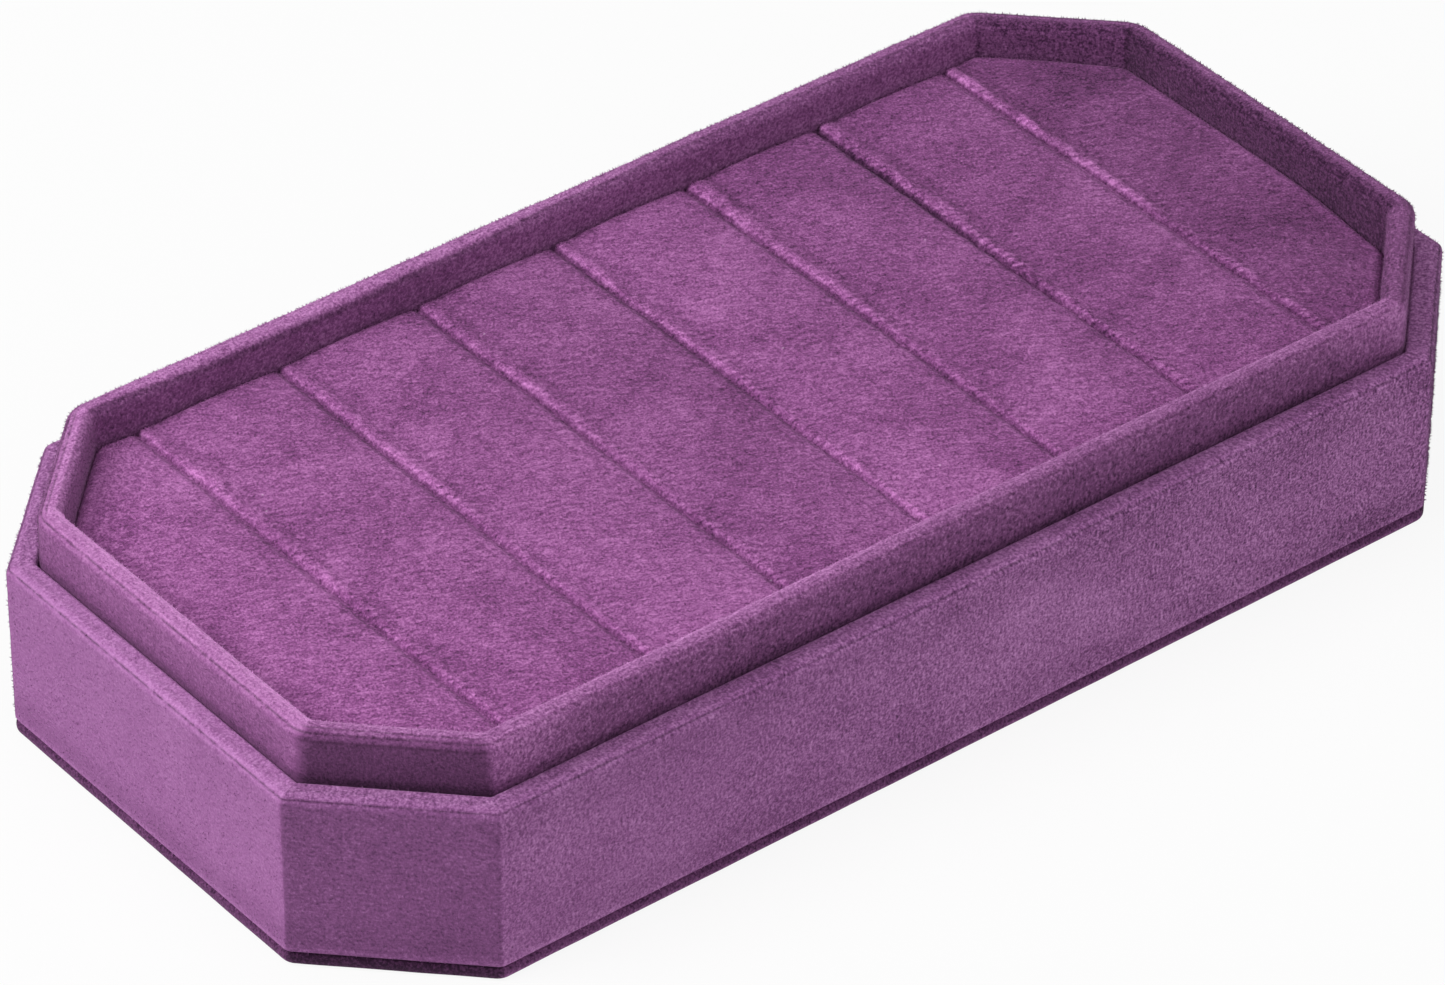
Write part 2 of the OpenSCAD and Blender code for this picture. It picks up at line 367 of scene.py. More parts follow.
def tufts_on(cloth, name, seed):
    """Stands loose tufts on a finished cloth, as a piece of their own."""
    tree = bpy.data.node_groups.get("tufts") or tuft_tree()
    obj = put(name, cloth.data.copy())
    modifier = obj.modifiers.new("tufts", "NODES")
    modifier.node_group = tree
    wanted = {"Height": bpy.context.scene.tray_shape.tuft, "Seed": seed,
              "Material": cloth.data.materials[0]}
    for item in tree.interface.items_tree:
        if item.in_out == "INPUT" and item.name in wanted:
            modifier[item.identifier] = wanted[item.name]
    bake(obj)
    obj.data.shade_smooth()
    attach(obj, "root")


# Materials

def blank(name):
    """An empty material and its node tree."""
    material = bpy.data.materials.new(name)
    material.use_nodes = True
    material.node_tree.nodes.clear()
    return material, material.node_tree


def velvet(name, rib_strength, patch_strength, grain_strength=1.9, lean=0.0,
           dye=(1.0, 1.0, 1.0), rib_scale=(2000, 850, 1)):
    """Cotton velvet: short dense pile on a woven ground. It gives the eye a matt depth, a pale
    bloom where the cloth turns away, brushed patches, faint ribs, a fine grain, dark broken
    lines painted as shade where the pile parts over an edge, and the painted sheen and shade
    of the painted-light mark."""
    look = bpy.context.scene.tray_look
    material, tree = blank(name)
    spot = node(tree, "ShaderNodeTexCoord")["Object"]
    cloth = node(tree, "ShaderNodeUVMap", uv_map="cloth")["UV"]
    painted_light, part, calm, along, open_pile = (
        node(tree, "ShaderNodeAttribute", attribute_name=key)["Fac"]
        for key in ("painted_light", "part", "calm", "along", "open"))
    # Brushed patches are 10 to 30 mm wide, and smaller blots 2 to 5 mm
    patch = node(tree, "ShaderNodeTexNoise", {
        "Vector": spot, "Scale": 50, "Detail": 3, "Roughness": 0.55, "Distortion": 0.7})["Fac"]
    blot = node(tree, "ShaderNodeTexNoise", {
        "Vector": spot, "Scale": 280, "Detail": 2, "Roughness": 0.6})["Fac"]
    # Tufts of pile are 0.2 to 0.3 mm, drawn at up to 0.35 mm so that they show
    grain = node(tree, "ShaderNodeTexNoise", {
        "Vector": spot, "Scale": 2650, "Detail": 3, "Roughness": 0.7})["Fac"]
    # Ribs of the ground weave are 0.5 to 0.6 mm apart, broken every 1 to 2 mm. They run up the
    # cloth, or along it where the mark says so
    ribs = []
    for scale in (rib_scale, (650, 1900, 1)):
        laid = node(tree, "ShaderNodeMapping", {
            "Vector": cloth, "Rotation": (0, 0, lean), "Scale": [1 / a for a in scale]},
            vector_type="TEXTURE")[0]
        ribs.append(node(tree, "ShaderNodeTexNoise", {
            "Vector": laid, "Scale": 1, "Detail": 1.5, "Roughness": 0.5})["Fac"])
    rib = node(tree, "ShaderNodeMix", {0: along, 2: ribs[0], 3: ribs[1]}, data_type="FLOAT")[0]
    # The patterns are added up about their middle, quietened, and lifted or lowered by the
    # painted-light mark: painted sheen and shade
    mixed = ((patch, patch_strength), (blot, 0.2), (grain, grain_strength), (rib, rib_strength))
    total = -sum(weight for _, weight in mixed) / 2
    for source, weight in mixed:
        total = node(tree, "ShaderNodeMath", {0: source, 1: weight, 2: total},
                     operation="MULTIPLY_ADD")[0]
    loud = node(tree, "ShaderNodeMath", {0: 1.0, 1: calm}, operation="SUBTRACT")[0]
    rest = node(tree, "ShaderNodeMath", {0: painted_light, 1: 0.3, 2: 0.5}, operation="MULTIPLY_ADD")[0]
    tick = node(tree, "ShaderNodeMath", {0: rib, 1: 0.5}, operation="SUBTRACT")[0]
    for a, b in ((tick, open_pile), (total, loud)):
        rest = node(tree, "ShaderNodeMath", {0: a, 1: b, 2: rest}, operation="MULTIPLY_ADD")[0]
    pile = node(tree, "ShaderNodeValToRGB", {"Fac": rest})["Color"]
    stops = pile.node.color_ramp.elements
    stops[0].color, stops[1].color = (*look.deep, 1), (*look.light, 1)
    stops.new(0.5).color = (*look.middle, 1)
    # The pile parts in dashes of 1 to 2 mm, each darkened as painted shade in the parting
    spread = node(tree, "ShaderNodeMapping", {"Vector": cloth, "Scale": (700, 260, 1)})[0]
    dash = node(tree, "ShaderNodeTexNoise", {
        "Vector": spread, "Scale": 1, "Detail": 2, "Roughness": 0.6})["Fac"]
    dash = node(tree, "ShaderNodeMapRange", {
        "Value": dash, "From Min": 0.36, "From Max": 0.54, "To Min": 0.4, "To Max": 1.0})[0]
    dark = node(tree, "ShaderNodeMath", {0: dash, 1: part}, operation="MULTIPLY")[0]
    level = node(tree, "ShaderNodeMath", {0: dark, 1: -0.6, 2: 1.0}, operation="MULTIPLY_ADD")[0]
    # The painted-light mark scales the colour too: brighter for painted sheen, darker for painted
    # shade
    lift = node(tree, "ShaderNodeMath", {0: painted_light, 1: 0.5, 2: 1.0}, operation="MULTIPLY_ADD")[0]
    level = node(tree, "ShaderNodeMath", {0: level, 1: lift}, operation="MULTIPLY")[0]
    colour = node(tree, "ShaderNodeVectorMath", {0: pile, "Scale": level}, operation="SCALE")[0]
    # Each piece of velvet took the dye a little differently
    colour = node(tree, "ShaderNodeVectorMath", {0: colour, 1: dye}, operation="MULTIPLY")[0]
    # Lint lies about 8 mm apart, each speck 0.2 mm
    speck = node(tree, "ShaderNodeTexVoronoi", {"Vector": spot, "Scale": 120},
                 feature="F1")["Distance"]
    speck = node(tree, "ShaderNodeMapRange", {
        "Value": speck, "From Min": 0.010, "From Max": 0.024, "To Min": 0.5, "To Max": 0.0})[0]
    colour = node(tree, "ShaderNodeMix", {0: speck, 6: colour, 7: (*look.lint, 1)},
                  data_type="RGBA")[2]
    height = node(tree, "ShaderNodeMath", {0: rib, 1: 0.5, 2: grain},
                  operation="MULTIPLY_ADD")[0]
    relief = node(tree, "ShaderNodeBump", {
        "Height": height, "Strength": 0.8, "Distance": 0.24 * MM})[0]
    shader = node(tree, "ShaderNodeBsdfPrincipled", {
        "Base Color": colour, "Normal": relief, "Roughness": 0.95, "Specular IOR Level": 0.08,
        "Sheen Weight": 0.3, "Sheen Roughness": 0.5, "Sheen Tint": (*look.sheen, 1)})[0]
    node(tree, "ShaderNodeOutputMaterial", {"Surface": shader})
    return material


def plain(name, colour, darker, scale, stretch, roughness, depth):
    """A dry matt finish whose colour varies between two tones over a stretched grain."""
    material, tree = blank(name)
    spot = node(tree, "ShaderNodeTexCoord")["Object"]
    spot = node(tree, "ShaderNodeMapping", {"Vector": spot, "Scale": stretch})[0]
    grain = node(tree, "ShaderNodeTexNoise", {
        "Vector": spot, "Scale": scale, "Detail": 4, "Roughness": 0.65})["Fac"]
    tones = node(tree, "ShaderNodeMix", {
        0: grain, 6: (*[c * darker for c in colour], 1), 7: (*colour, 1)}, data_type="RGBA")[2]
    relief = node(tree, "ShaderNodeBump", {"Height": grain, "Strength": 0.5,
                                           "Distance": depth})[0]
    shader = node(tree, "ShaderNodeBsdfPrincipled", {
        "Base Color": tones, "Normal": relief, "Roughness": roughness,
        "Specular IOR Level": 0.2})[0]
    node(tree, "ShaderNodeOutputMaterial", {"Surface": shader})
    return material


def finish(obj, material, slot, *nodes):
    """Dresses a piece, sets it on the body and hides the CAD nodes that it stands for."""
    obj.data.materials.clear()
    obj.data.materials.append(material)
    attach(obj, "root")
    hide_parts(*nodes)


# Operators

class TRAY_OT_walls(bpy.types.Operator):
    """Wraps the outer wall in velvet"""
    bl_idname = "tray.walls"
    bl_label = "Wall Velvet"

    def execute(self, context):
        shape = context.scene.tray_shape
        t, low, high = shape.cloth, BASE_TOP, LEDGE
        foot, hem = 3.3 * MM, high - shape.turn_in
        back = COLLAR_IN - t
        stops = [(-foot, low, 0, 1 * MM), (-0.8 * MM, low, 0, 1 * MM),
                 (0, low - 0.2 * MM, 0.6 * MM, 0.85 * MM),
                 (0, high, shape.wall_round, 0.6 * MM), (-COLLAR_IN, high, 0.8 * MM, 1.6 * MM),
                 (-COLLAR_IN, hem, 0, 1 * MM), (-back, hem, 0, 4 * MM),
                 (-back, high - t, 0, 1.2 * MM), (-t, high - t, 0.55 * MM, 3 * MM),
                 (-t, low + t, 0.55 * MM, 1.2 * MM), (-foot, low + t, 0, 1 * MM)]

        def surface(inset, height, normal, x, aims):
            ledge = height > high - 0.45 * MM and normal[1] > 0.1 and inset < 3.4 * MM
            seen = ledge or inset < 0.5 * MM and normal[0] > 0.1
            out, up = max(normal[0], 0), ramp(normal[1], 0.1, 0.9)
            front, edge = nap(aims, front=1), normal[0] - normal[1]
            give = seen * ramp(height, low + 0.2 * MM, low + 2.5 * MM)
            crest = bump(edge, 0, 0.16) if seen and height > 10 * MM else 0
            second = bump(inset, 1.9 * MM, 0.12 * MM) if ledge else 0
            # Painted sheen and shade: the outside and the top of the wall brighter or darker on
            # each side by how the pile meets the light
            painted_light = out * (0.2 + nap(aims, left=-0.04, right=-0.25, cut=-0.54)) \
                + up * (0.26 + nap(aims, front=-0.16, left=0.3, right=-0.1, back_left=0.25))
            # The foot's rounded edge gets a painted highlight with a painted darker band over it,
            # and the front is painted darker near its top
            painted_light = painted_light + seen * out * (
                0.3 * bump(height, low + 0.7 * MM, 0.5 * MM)
                - bump(height, low + 2 * MM, 3 * MM) * (
                    0.1 + nap(aims, left=0.1) + 0.2 * front * ramp(x, 50 * MM, 75 * MM))
                - 0.13 * front * bump(height, high - 3 * MM, 3 * MM))
            return give, crest * shape.parting, {
                "painted_light": painted_light, "part": (crest + 0.45 * second) * (1 - 0.15 * front),
                "fuzz": (give > 0) * (0.055 + 0.3 * crest),
                "calm": out * (nap(aims, left=0.42, cut=0.22) + 0.2 - 0.55 * ramp(
                    x, -70 * MM, 70 * MM)) + up * nap(aims, left=0.35),
                "along": out * nap(aims, left=0.8, cut=1),
                "open": 0.2 * bump(edge, 0.2, 0.6) * (give > 0)}

        cloth = velvet("cotton_velvet_on_wall", 0.65, 0.45, 2.0, dye=(1.02, 1.08, 1.05))
        wall = sweep("wall_velvet", stops, lambda inset: max(shape.upright - inset, LEAST_ROUND),
                     surface, 3)
        finish(wall, cloth, "wall_velvet", "wall_cloth")
        tufts_on(wall, "wall_tufts", 5)
        return {"FINISHED"}


class TRAY_OT_collar(bpy.types.Operator):
    """Wraps the collar in velvet, over its round rim and down inside"""
    bl_idname = "tray.collar"
    bl_label = "Collar Velvet"

    def execute(self, context):
        shape = context.scene.tray_shape
        t, low, high = shape.cloth, BASE_TOP, LEDGE
        outer, inner, top, r = COLLAR_IN, WELL_IN, RIM, shape.rim_round
        stops = [(-outer, low, 0, 6 * MM), (-outer, high - 1 * MM, 0, 0.7 * MM),
                 (-outer, top, r, 0.5 * MM), (-inner, top, r, 0.7 * MM),
                 (-inner, 26 * MM, 0, 6 * MM), (-inner, low, 0, 1 * MM),
                 (-inner + t, low, 0, 8 * MM), (-inner + t, top - t, r - t, 1.2 * MM),
                 (-outer - t, top - t, r - t, 8 * MM), (-outer - t, low, 0, 1 * MM)]

        def upright(inset):
            return max(5 * MM - 0.85 * max(inset - outer, 0), 0.3 * MM)

        strays = 0.3 * MM * wander_along(loop_round(0, shape.upright)[0][:, 0], 14 * MM, 61)

        def surface(inset, height, normal, x, aims):
            skin = inset < outer + 0.55 * MM and normal[0] > -0.1 \
                or inset > inner - 0.55 * MM and normal[0] < 0.1 \
                or height > top - 0.55 * MM and normal[1] > 0
            # Cloth out of sight under the ledge and against the boards is painted darker as shade
            if not skin or height < high - 1 * MM:
                return 0, 0, {"painted_light": -0.3}
            rolled, edge = height > top - r, normal[0] - normal[1]
            give = 1 if height > top - 1.5 * MM else ramp(height, high - 0.5 * MM, high + 2 * MM)
            out, into, up = max(normal[0], 0), max(-normal[0], 0), ramp(normal[1], 0.1, 0.9)
            crest, third = rolled * bump(edge, -0.1, 0.15), rolled * bump(edge, 0.75, 0.13)
            second = (up > 0.8) * bump(inset, outer + 1.35 * MM, 0.13 * MM)
            # Painted shade on the outside of the collar: darker low down and darkest at its foot
            # by the ledge
            lower_shade = ramp(top - 2 * MM - height, 0, 5 * MM)
            foot = ramp(high + 1.6 * MM - height, 0, 1.4 * MM)
            front, far = nap(aims, front=1), bump(aims[:, 1], 1, 0.3)
            near = np.clip(ramp(-aims[:, 1], 0.2, 0.6) + ramp(-aims[:, 0], 0.75, 0.95), 0, 1)
            # On the far side the pile turns over along the middle of the rim; past that line the
            # rim is painted with the darker shade of the inside
            turn = outer + 2.4 * MM + strays + 0.9 * MM * ramp(-x, -20 * MM, 40 * MM) * (
                1 - 0.9 * ramp(-x, 58 * MM, 76 * MM)) - 0.4 * MM * ramp(x, 58 * MM, 76 * MM)
            past = ramp(inset - turn, -0.4 * MM, 0.7 * MM) if rolled else float(normal[0] < 0)
            split = rolled * far * bump(inset - turn, 0.35 * MM, 0.2 * MM)
            past = past * (1 - 0.65 * ramp(aims[:, 0], 0.5, 0.9) - nap(aims, back_left=0.6) * up)
            far_left = far * ramp(-x, -60 * MM, 60 * MM)
            # Painted sheen and shade on the rim top: brightest at the far left and on the left
            # end, darker towards the right end and its cut corners
            rim = 0.24 + 0.37 * far_left + nap(aims, left=0.43, right=-0.28, cut=0.08,
                                               back_right=-0.35, back_left=0.32,
                                               front_right=-0.5)
            rim = rim + (0.08 - 0.22 * ramp(x, -30 * MM, 30 * MM)) * front
            # Painted shade on the inside faces, darkest inside the right end, and on the near side
            # a painted highlight brighter than the rim
            inside = 0.04 - 0.12 * far_left + nap(aims, right=-0.95, cut=-0.35,
                                                  back_right=-0.15, back_left=0.35)
            bright = rim + 0.65 - nap(aims, front_right=0.85) - 0.4 * ramp(
                -x, 58 * MM, 74 * MM) * (aims[:, 1] < -0.9)
            # The cloth is gathered round the near corners, where its ribs open, and it opens at
            # the ends of the front; both are painted brighter as sheen
            gather = (bump(aims[:, 0], 0.38, 0.25) + 0.7 * bump(aims[:, 0], -0.9, 0.07)) * (
                aims[:, 1] < -0.05)
            ends = front * ramp(np.abs(x), 58 * MM, 76 * MM)
            # The painted light of the collar: painted shade low on the outside, and painted sheen
            # and shade on each side, on the rim and inside, by how the pile meets the light
            painted_light = out * (-0.25 - 0.15 * lower_shade - 0.35 * foot + 0.25 * gather
                          + ends * (0.5 - 0.2 * lower_shade)
                          + nap(aims, left=0.22, right=-0.15, cut=-0.48, front_right=0.55)) \
                + into * (inside + (bright - inside) * near) \
                + up * (rim + (inside - 0.15 - rim) * past * (1 - near))
            return give, (crest + 0.5 * second) * shape.parting, {
                "painted_light": painted_light,
                "part": (1 - nap(aims, front=0.6, front_right=0.8)) * (
                    crest + second * (0.2 + nap(aims, cut=0.75)) + third * nap(aims, cut=0.85))
                + 0.65 * split,
                "fuzz": 0.07 + 0.3 * crest + 0.06 * up,
                "calm": out * nap(aims, left=0.45, cut=0.45) + up * nap(aims, left=0.25),
                "along": np.clip(out * nap(aims, left=0.7, cut=0.2) + into * 0.5 + up, 0, 1),
                "open": 0.1 * out + 0.6 * into * ramp(aims[:, 0], 0.3, 0.7) + out * gather}

        cloth = velvet("cotton_velvet_on_collar", 0.6, 0.35, 1.9)
        collar = sweep("collar_velvet", stops, upright, surface, 17)
        finish(collar, cloth, "collar_velvet", "collar_cloth")
        tufts_on(collar, "collar_tufts", 7)
        return {"FINISHED"}


def join_doubles(obj, reach):
    """Merges points that coincide and turns all faces outwards."""
    work = bmesh.new()
    work.from_mesh(obj.data)
    bmesh.ops.remove_doubles(work, verts=work.verts, dist=reach)
    bmesh.ops.dissolve_degenerate(work, edges=work.edges, dist=reach * 0.5)
    bmesh.ops.recalc_face_normals(work, faces=work.faces)
    work.to_mesh(obj.data)
    work.free()
    obj.data.update()


class TRAY_OT_base(bpy.types.Operator):
    """Wraps the base plate in velvet, turned in on top"""
    bl_idname = "tray.base"
    bl_label = "Base Velvet"

    def execute(self, context):
        shape = context.scene.tray_shape
        t, top, half = shape.cloth, BASE_TOP, 0.45 * BASE_TOP
        quarter = [(math.sin(a), math.cos(a)) for a in (k / 6 * math.pi / 2 for k in range(7))]
        rows = [(shape.turn_in, top, 0, 1), (shape.turn_in * 0.5, top, 0, 1)]
        rows += [(half - half * s, top - half + half * c, s, c) for s, c in quarter]
        rows += [(half - half * c, half - half * s, c, -s) for s, c in quarter]
        rows += [(d * MM, 0, 0, -1) for d in (2.5, 4, 6, 8, 10.5, 13, 16)]
        skin = [(shape.turn_in, top - t, 0, -1), (t + 0.1 * MM, top - t, 0.5, -0.5),
                (t + 0.1 * MM, t, 0.5, 0.5), (16 * MM, t, 0, 1)]
        corner = 1.5 * shape.upright
        plan0, sides = loop_round(0, corner, BASE_STEP)
        around, cols = run_along(plan0), len(plan0)
        spine = HALF_LENGTH - HALF_WIDTH

        def sag(loop, share=1):
            """How far the cloth under the plate hangs clear of the floor."""
            return 0.35 * shape.ripple * (1 + share * wander(loop, 20 * MM, 43))

        def lay(rows, closing, height):
            """Loops of points through the rows, then inwards to the middle line."""
            loops = []
            for inset, z, out, up in rows:
                plan, aims = loop_round(inset, max(corner - inset, LEAST_ROUND), BASE_STEP)
                base = np.column_stack([plan, np.full(cols, z)])
                give = 0.5 * shape.ripple * (out > 0.2) * wander(base, 7 * MM, 41)
                lift = sag(base) * (up < -0.9 and height == 0 and inset > 2 * MM)
                loops.append(base + np.column_stack([aims * (out * give)[:, None],
                                                     up * give + lift]))
            last = loops[-1]
            goal = np.column_stack([np.clip(last[:, 0], -spine, spine), np.zeros(cols),
                                    np.full(cols, height)])
            for k in range(1, closing + 1):
                loop = last * (1 - k / closing) + goal * (k / closing)
                loop[:, 2] = height
                if height == 0:
                    loop[:, 2] = sag(loop, k < closing)
                loops.append(loop)
            return loops

        under, inside = lay(rows, 9, 0), lay(skin, 3, t)
        points = np.concatenate(under + inside)
        numbers = np.arange(len(points)).reshape(-1, cols).tolist()
        faces, uvs, run, first = [], [], 0, len(under)
        for a in range(first - 1):
            gap = np.linalg.norm(under[a + 1][0] - under[a][0])
            strip(faces, uvs, numbers[a], numbers[a + 1], around, run, run + gap, (3, 2, 1, 0))
            run += gap
        for a in range(first, len(numbers) - 1):
            strip(faces, uvs, numbers[a], numbers[a + 1], around, 0, 5 * MM)
        strip(faces, uvs, numbers[0], numbers[first], around, 0, 1 * MM)
        # The edge is painted darker all round, darkest in the joint under the wall as painted
        # shade, brighter or darker on each side as painted sheen and shade, and along the front
        # its foot is painted paler as a highlight
        low = ramp(-points[:, 2], -0.62 * BASE_TOP, -0.3 * BASE_TOP)
        front, side = (np.tile(values, len(numbers)) for values in (
            nap(sides, front=1), nap(sides, left=0.15, cut=-0.4)))
        obj = make_mesh("base_velvet", points, faces, uvs, {
            "painted_light": side - 0.95 + front * (0.3 + 0.6 * low)})
        join_doubles(obj, 0.004 * MM)
        finish(obj, velvet("cotton_velvet_on_base", 0.5, 0.3), "base_velvet", "base_cloth")
        return {"FINISHED"}


# Painted sheen and shade on the pile of each bar: each was brushed on its own, and so meets the
# light its own way
BAR_PAINTED_LIGHT = (0.28, 0.13, 0.08, -0.06, 0.07, 0.0, -0.08, -0.38)
# For each slit: width in mm of the ridge on its right, how much wider it is at the back, its
# painted highlight, painted shade in the slit at back and front, plucking, and depth in lips
Slit = namedtuple("Slit", "ridge wider bright back front pluck depth")
SLITS = [Slit(*row) for row in (
    (0,) * 7, (1.2, 0.4, 0.42, 0.2, 0.16, 0.1, 0.4),
    (1.1, 0.4, 0.42, 0.32, 0.17, 0.1, 0.45), (1.2, 0.4, 0.4, 0.22, 0.17, 0.1, 0.5),
    (0.9, 0.4, 0.46, 0.44, 0.1, 0.3, 0.45), (1.0, 0.9, 0.44, 0.32, 0.24, 0.3, 0.45),
    (1.0, 0.7, 0.52, 0.74, 0.06, 1.0, 0.6), (1.1, 0.3, 0.68, 0.16, 0.15, 0.6, 0.35),
    (0,) * 7)]


def drop(distance, radius):
    """How far a rolled edge of the radius has fallen at a distance in from the edge."""
    d = np.clip(distance, 0, radius)
    return radius - np.sqrt(np.maximum(radius ** 2 - (radius - d) ** 2, 0))


def slit_shift(k, y):
    """How far a slit strays sideways along its length, in metres."""
    return 0.25 * MM * wander_along(y, 22 * MM, k + 0.5) + (0.1 + 0.24 * SLITS[k].pluck) * MM \
        * wander_along(y, 3.5 * MM, k + 30.5)


class Bar:
    """The skin of one bar: rows of points over its top, and the marks of its pile there, painted
    sheen and shade among them.
    """
    # Half the gap between bars, the radius of their notches at a slit's end, and where along Y the
    # foam is pressed down
    GAP, NOTCH, PRESSED_Y = 0.03 * MM, 1.3 * MM, 27.8 * MM
    LIP_STEPS, MIDDLE_STEPS, END_STEPS = 12, 22, 9

    def __init__(self, index, shape):
        self.index, self.shape = index, shape
        self.low, self.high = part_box(f"bar_cloth_{index}")
        self.middle = (self.low.x + self.high.x) / 2
        self.half = (self.high.x - self.low.x) / 2
        self.lay_out()
        self.raise_up()

    def cut_side(self, y):
        """Where an end bar stops on its outer side, seen as a positive X."""
        reach = WELL_X + WELL_Y - (CORNER_CUT - WELL_IN * (2 - ROOT2))
        soft = 1.6 * MM
        a, b = np.full_like(y, WELL_X), reach - np.abs(y)
        near = np.maximum(soft - np.abs(a - b), 0) / soft
        return np.minimum(a, b) - near ** 2 * soft / 4 - self.GAP

    def side(self, y, sign):
        """X of one side, its slope as a stretch factor, and the radius of its lip."""
        if self.index == (BARS if sign > 0 else 1):
            base = sign * self.cut_side(y)
            slope = np.gradient(base, y)
            radius = self.shape.bar_end + (self.shape.bar_corner - self.shape.bar_end) * ramp(
                np.abs(slope), 0.1, 0.9)
        else:
            edge = self.high.x - self.GAP if sign > 0 else self.low.x + self.GAP
            base = edge + slit_shift(self.index if sign > 0 else self.index - 1, y)
            slope = np.zeros_like(y)
            radius = np.full_like(y, self.shape.lip * (0.8 if sign < 0 else 1.3))
        notch = drop(self.high.y - np.abs(y), self.NOTCH)
        return base - sign * notch, np.sqrt(1 + slope ** 2), radius

    def lay_out(self):
        """Places the points over the plan of the bar."""
        h = self.high.y
        ends = h - np.array([self.shape.bar_end * (1 - math.cos(a / self.END_STEPS * math.pi / 2))
                             for a in range(self.END_STEPS + 1)])
        inner = ends[-1]
        count = round(2 * inner / (0.5 * MM))
        self.ys = np.concatenate([-ends[:-1], np.linspace(-inner, inner, count + 1),
                                  ends[:-1][::-1]])
        self.left, self.lean_left, self.round_left = self.side(self.ys, -1)
        self.right, self.lean_right, self.round_right = self.side(self.ys, 1)
        arcs = 1 - np.cos(np.arange(self.LIP_STEPS + 1) / self.LIP_STEPS * math.pi / 2)
        rows = []
        for left, right, bend_left, bend_right in zip(
                self.left, self.right, self.round_left * self.lean_left,
                self.round_right * self.lean_right):
            wide = (right - left) * 0.45 * arcs
            a = left + np.minimum(arcs * 1.6 * bend_left, wide)
            b = right - np.minimum(arcs * 1.6 * bend_right, wide)
            rows.append(np.concatenate([a, np.linspace(a[-1], b[-1], self.MIDDLE_STEPS + 1)[1:-1],
                                        b[::-1]]))
        self.xs = np.array(rows)

    def raise_up(self):
        """Gives the points their height and the pile its marks, painted sheen and shade among
        them.
        """
        shape, index, xs = self.shape, self.index, self.xs
        y = np.repeat(self.ys[:, None], xs.shape[1], axis=1)
        from_left = (xs - self.left[:, None]) / self.lean_left[:, None]
        from_right = (self.right[:, None] - xs) / self.lean_right[:, None]
        from_end = self.high.y - np.abs(y)
        falls = [drop(from_left, self.round_left[:, None]),
                 drop(from_right, self.round_right[:, None]), drop(from_end, shape.bar_end)]
        # Neighbours press together, so a slit is shallow where its lips were not plucked
        for side, slit in ((0, index - 1), (1, index)):
            if SLITS[slit].depth:
                falls[side] = np.minimum(falls[side], SLITS[slit].depth * shape.lip)
        fall = sum(f ** 4 for f in falls) ** 0.25
        crown = shape.crown * np.clip(np.abs(xs - self.middle) / self.half, 0, 1) ** 2
        sag = 0.25 * shape.crown * (np.abs(y) / self.high.y) ** 6
        # The foam is pressed down in two corners of the well
        pressed = bump(xs, WELL_X, 9 * MM) * bump(y, -self.PRESSED_Y, 11 * MM)
        dip = 2 * MM * pressed + 0.6 * MM * bump(xs, -WELL_X, 8 * MM) * bump(
            y, self.PRESSED_Y, 10 * MM)
        z = self.high.z - crown - sag - fall - dip
        flat = np.stack([xs, y, z], axis=2).reshape(-1, 3)
        lumps = wander(flat, 17 * MM, index) + 0.4 * wander(flat, 4.5 * MM, index + 20)
        edge = np.minimum(from_left, from_right).ravel()
        clear = np.minimum(edge, from_end.ravel())
        nearer = (from_left < from_right).ravel()
        inner_edge = np.where(nearer, index > 1, index < BARS) * 1.0
        slit, own = SLITS[index - 1], np.where(nearer, index - 1, index)
        behind = ramp(flat[:, 1], -15 * MM, 25 * MM)
        front, back = np.array([(each.front, each.back) for each in SLITS])[own].T
        dark = front + (back - front) * behind
        # A slit's left lip falls away, and its right one stands up as a narrow ridge
        wide = (slit.ridge + slit.wider * ramp(flat[:, 1], -15 * MM, 40 * MM)) * MM * (
            1 + 0.5 * wander(flat, 8 * MM, index + 50))
        ridge = nearer * inner_edge * ramp(edge, 0.05 * MM, 0.4 * MM) * (
            1 - np.clip((edge - wide) / (0.7 * MM), 0, 1))
        trough = nearer * inner_edge * bump(edge - wide, 1.5 * MM, 0.9 * MM)
        shade = inner_edge * bump(edge, 0.1 * MM, np.where(nearer, 0.28, 0.75) * MM)
        uneven = 0.75 + 0.6 * wander(flat, 11 * MM, index + 70) \
            + (0.3 + 0.5 * slit.pluck) * wander(flat, 3.2 * MM, index + 80)
        pucker = nearer * slit.pluck * bump(edge, 0.8 * MM, 0.8 * MM) * (
            wander(flat, 2.1 * MM, index + 40) + 0.7 * wander(flat, 0.9 * MM, index + 60))
        rise = lumps * shape.ripple * ramp(clear, 0.1 * MM, 2 * MM) \
            + (0.18 + 0.16 * slit.pluck) * MM * ridge * uneven - 0.08 * MM * trough \
            + pucker * 0.22 * MM * ramp(clear, 0.05 * MM, 0.5 * MM)
        self.points = np.stack([xs, y, z + rise.reshape(z.shape)], axis=2)
        corner = bump(from_end, 1.2 * MM, 1.2 * MM).ravel()
        # The painted light of a bar: its painted sheen and shade, a painted highlight on its
        # rolled ends and along each ridge, paint lifting the shade of the pressed dip, painted
        # shade in each slit, its trough and the lip that falls away, and at sides against the
        # collar a painted highlight in from a painted dark edge
        self.marks = {
            "painted_light": BAR_PAINTED_LIGHT[index - 1] + 0.12 * corner + 0.2 * pressed.ravel()
            + (0.8 + 0.45 * behind) * slit.bright * ridge * uneven - 1.1 * dark * shade
            - (0.08 + 0.25 * slit.wider) * trough * behind
            - 0.13 * ~nearer * inner_edge * bump(edge, 0.8 * MM, 0.9 * MM) * (0.4 + 0.6 * behind)
            + (1 - inner_edge) * (0.18 * bump(edge, 1.8 * MM, 0.6 * MM)
                                  - 0.25 * bump(clear, 0, 0.3 * MM)),
            "open": ridge * (0.35 + 0.6 * slit.pluck) + 0.3 * corner,
            "fuzz": 0.12 + 0.3 * ridge + 0.2 * corner
            + 0.3 * slit.pluck * nearer * bump(edge, 0.5 * MM, 0.5 * MM)}


